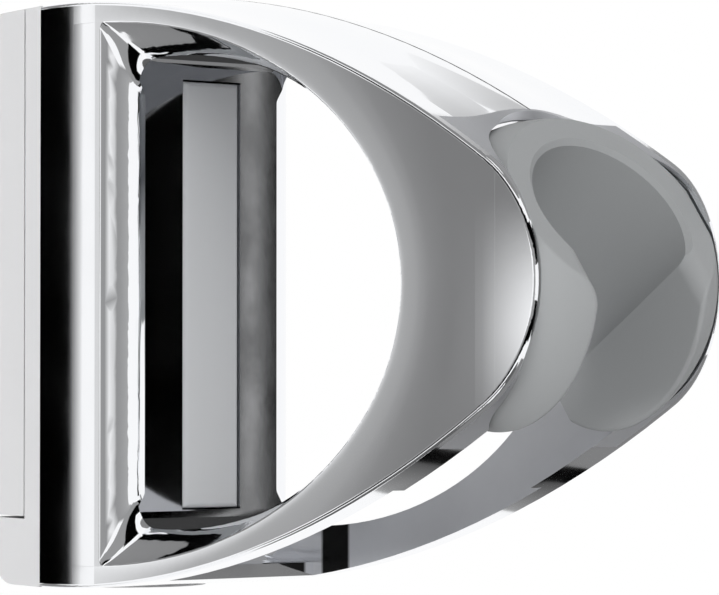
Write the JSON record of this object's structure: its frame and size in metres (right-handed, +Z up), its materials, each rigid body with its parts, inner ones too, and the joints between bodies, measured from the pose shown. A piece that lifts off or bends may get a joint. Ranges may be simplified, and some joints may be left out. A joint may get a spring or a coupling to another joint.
{
  "type": "hand shower holder",
  "caption": "Slide-bar hand shower holder: chromed wedge-shaped body with a D-shaped grip opening, pale rear housing on the bar, release strip, and a tilting grey slotted cup.",
  "frame": {"origin": "on the axis of the wall bar, at mid height of the holder", "axes": "+Z up along the bar, +X from the bar to the user, +Y to the right half of the body seen from the bar"},
  "size_m": [0.1395, 0.035, 0.0912],
  "materials": {
    "chrome_plate": "polished chrome on moulded plastic",
    "pale_plastic": "satin off-white",
    "bearing_plastic": "smooth natural white",
    "grip_plastic": "light grey, fine grain",
    "dark_plastic": "plain",
    "rubber": "smooth",
    "cup_plastic": "mid grey, fine grain",
    "pressed_steel": "plain stainless",
    "spring_steel": "drawn wire",
    "screw_steel": "plain stainless"
  },
  "bodies": {
    "body": {"left_shell": "chrome_plate", "right_shell": "chrome_plate", "bar_housing": "pale_plastic", "rear_cover": "pale_plastic", "upper_guide_ring": "bearing_plastic", "lower_guide_ring": "bearing_plastic", "upper_spring": "spring_steel", "lower_spring": "spring_steel", "shell_screws": "screw_steel", "cover_screws": "screw_steel", "roof_dowels": "screw_steel"},
    "tilting_cup": {"cup": "cup_plastic", "left_bush": "bearing_plastic", "right_bush": "bearing_plastic", "left_friction_ring": "rubber", "right_friction_ring": "rubber"},
    "release": {"release_bar": "grip_plastic", "upper_frame": "pressed_steel", "lower_frame": "pressed_steel", "brake_shoe": "dark_plastic", "brake_pad": "rubber", "frame_screws": "screw_steel"}
  },
  "joints": [
    {"name": "cup_tilt", "type": "hinge", "parent": "body", "child": "tilting_cup", "pos_m": [0.1015, 0, 0], "axis": [0, 1, 0], "range_deg": [-40, 35]},
    {"name": "release_press", "type": "slide", "parent": "body", "child": "release", "axis": [-1, 0, 0], "range_m": [0, 0.002], "stiffness_N_per_m": 3000, "springref_m": -0.003, "deforming": ["upper_spring", "lower_spring"]}
  ]
}
